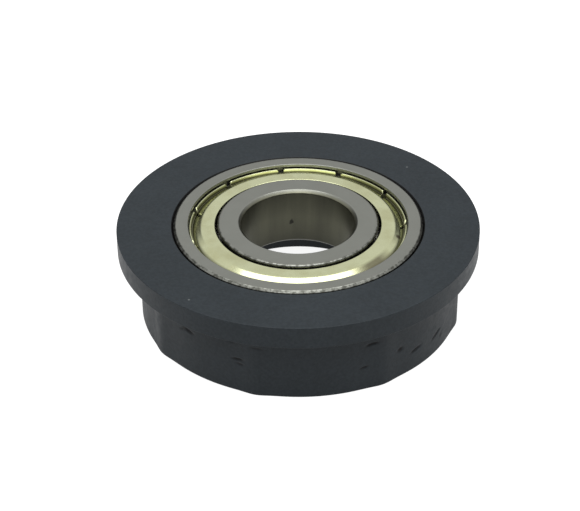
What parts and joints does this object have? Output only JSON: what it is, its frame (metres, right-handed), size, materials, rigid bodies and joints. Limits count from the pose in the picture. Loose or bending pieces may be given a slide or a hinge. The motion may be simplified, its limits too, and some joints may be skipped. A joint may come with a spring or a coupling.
{
  "type": "flanged cam follower roller",
  "caption": "Flanged cam follower: a black moulded roller turning on a shielded ball bearing with a plain bore for a stud.",
  "frame": {"origin": "centre of the bearing's bore, at the middle of the bearing's width", "axes": "+Z along the roller's axis, out of the flanged side"},
  "size_m": [0.0508, 0.0508, 0.0137],
  "materials": {
    "black_nylon": "fine matt moulded black",
    "ring_steel": "ground bearing steel",
    "shield_steel": "pressed sheet, pale yellow passivated",
    "ball_steel": "polished",
    "cage_steel": "pressed steel ribbon"
  },
  "bodies": {
    "inner_race": {"inner_ring": "ring_steel"},
    "roller": {"flanged_roller": "black_nylon", "outer_ring": "ring_steel", "upper_shield": "shield_steel", "lower_shield": "shield_steel"},
    "cage": {"cage_upper_half": "cage_steel", "cage_lower_half": "cage_steel", "cage_rivets": "cage_steel"},
    "ball_01": {"ball_01": "ball_steel"},
    "ball_02": {"ball_02": "ball_steel"},
    "ball_03": {"ball_03": "ball_steel"},
    "ball_04": {"ball_04": "ball_steel"},
    "ball_05": {"ball_05": "ball_steel"},
    "ball_06": {"ball_06": "ball_steel"},
    "ball_07": {"ball_07": "ball_steel"},
    "ball_08": {"ball_08": "ball_steel"},
    "ball_09": {"ball_09": "ball_steel"},
    "ball_10": {"ball_10": "ball_steel"}
  },
  "joints": [
    {"name": "roller_spin", "type": "hinge", "parent": "inner_race", "child": "roller", "pos_m": [0, 0, 0], "axis": [0, 0, 1], "continuous": true},
    {"name": "cage_spin", "type": "hinge", "parent": "inner_race", "child": "cage", "pos_m": [0, 0, 0], "axis": [0, 0, 1], "continuous": true},
    {"name": "ball_01_spin", "type": "hinge", "parent": "cage", "child": "ball_01", "pos_m": [0.0127, 0, 0], "axis": [0, 0, 1], "continuous": true},
    {"name": "ball_02_spin", "type": "hinge", "parent": "cage", "child": "ball_02", "pos_m": [0.01027, 0.00746, 0], "axis": [0, 0, 1], "continuous": true},
    {"name": "ball_03_spin", "type": "hinge", "parent": "cage", "child": "ball_03", "pos_m": [0.00392, 0.01208, 0], "axis": [0, 0, 1], "continuous": true},
    {"name": "ball_04_spin", "type": "hinge", "parent": "cage", "child": "ball_04", "pos_m": [-0.00392, 0.01208, 0], "axis": [0, 0, 1], "continuous": true},
    {"name": "ball_05_spin", "type": "hinge", "parent": "cage", "child": "ball_05", "pos_m": [-0.01027, 0.00746, 0], "axis": [0, 0, 1], "continuous": true},
    {"name": "ball_06_spin", "type": "hinge", "parent": "cage", "child": "ball_06", "pos_m": [-0.0127, 0, 0], "axis": [0, 0, 1], "continuous": true},
    {"name": "ball_07_spin", "type": "hinge", "parent": "cage", "child": "ball_07", "pos_m": [-0.01027, -0.00746, 0], "axis": [0, 0, 1], "continuous": true},
    {"name": "ball_08_spin", "type": "hinge", "parent": "cage", "child": "ball_08", "pos_m": [-0.00392, -0.01208, 0], "axis": [0, 0, 1], "continuous": true},
    {"name": "ball_09_spin", "type": "hinge", "parent": "cage", "child": "ball_09", "pos_m": [0.00392, -0.01208, 0], "axis": [0, 0, 1], "continuous": true},
    {"name": "ball_10_spin", "type": "hinge", "parent": "cage", "child": "ball_10", "pos_m": [0.01027, -0.00746, 0], "axis": [0, 0, 1], "continuous": true}
  ],
  "couplings": [
    {"joint": "cage_spin", "follows": "roller_spin", "ratio": 0.59375},
    {"joint": "ball_01_spin", "follows": "roller_spin", "ratio": 2.5729},
    {"joint": "ball_02_spin", "follows": "roller_spin", "ratio": 2.5729},
    {"joint": "ball_03_spin", "follows": "roller_spin", "ratio": 2.5729},
    {"joint": "ball_04_spin", "follows": "roller_spin", "ratio": 2.5729},
    {"joint": "ball_05_spin", "follows": "roller_spin", "ratio": 2.5729},
    {"joint": "ball_06_spin", "follows": "roller_spin", "ratio": 2.5729},
    {"joint": "ball_07_spin", "follows": "roller_spin", "ratio": 2.5729},
    {"joint": "ball_08_spin", "follows": "roller_spin", "ratio": 2.5729},
    {"joint": "ball_09_spin", "follows": "roller_spin", "ratio": 2.5729},
    {"joint": "ball_10_spin", "follows": "roller_spin", "ratio": 2.5729}
  ]
}
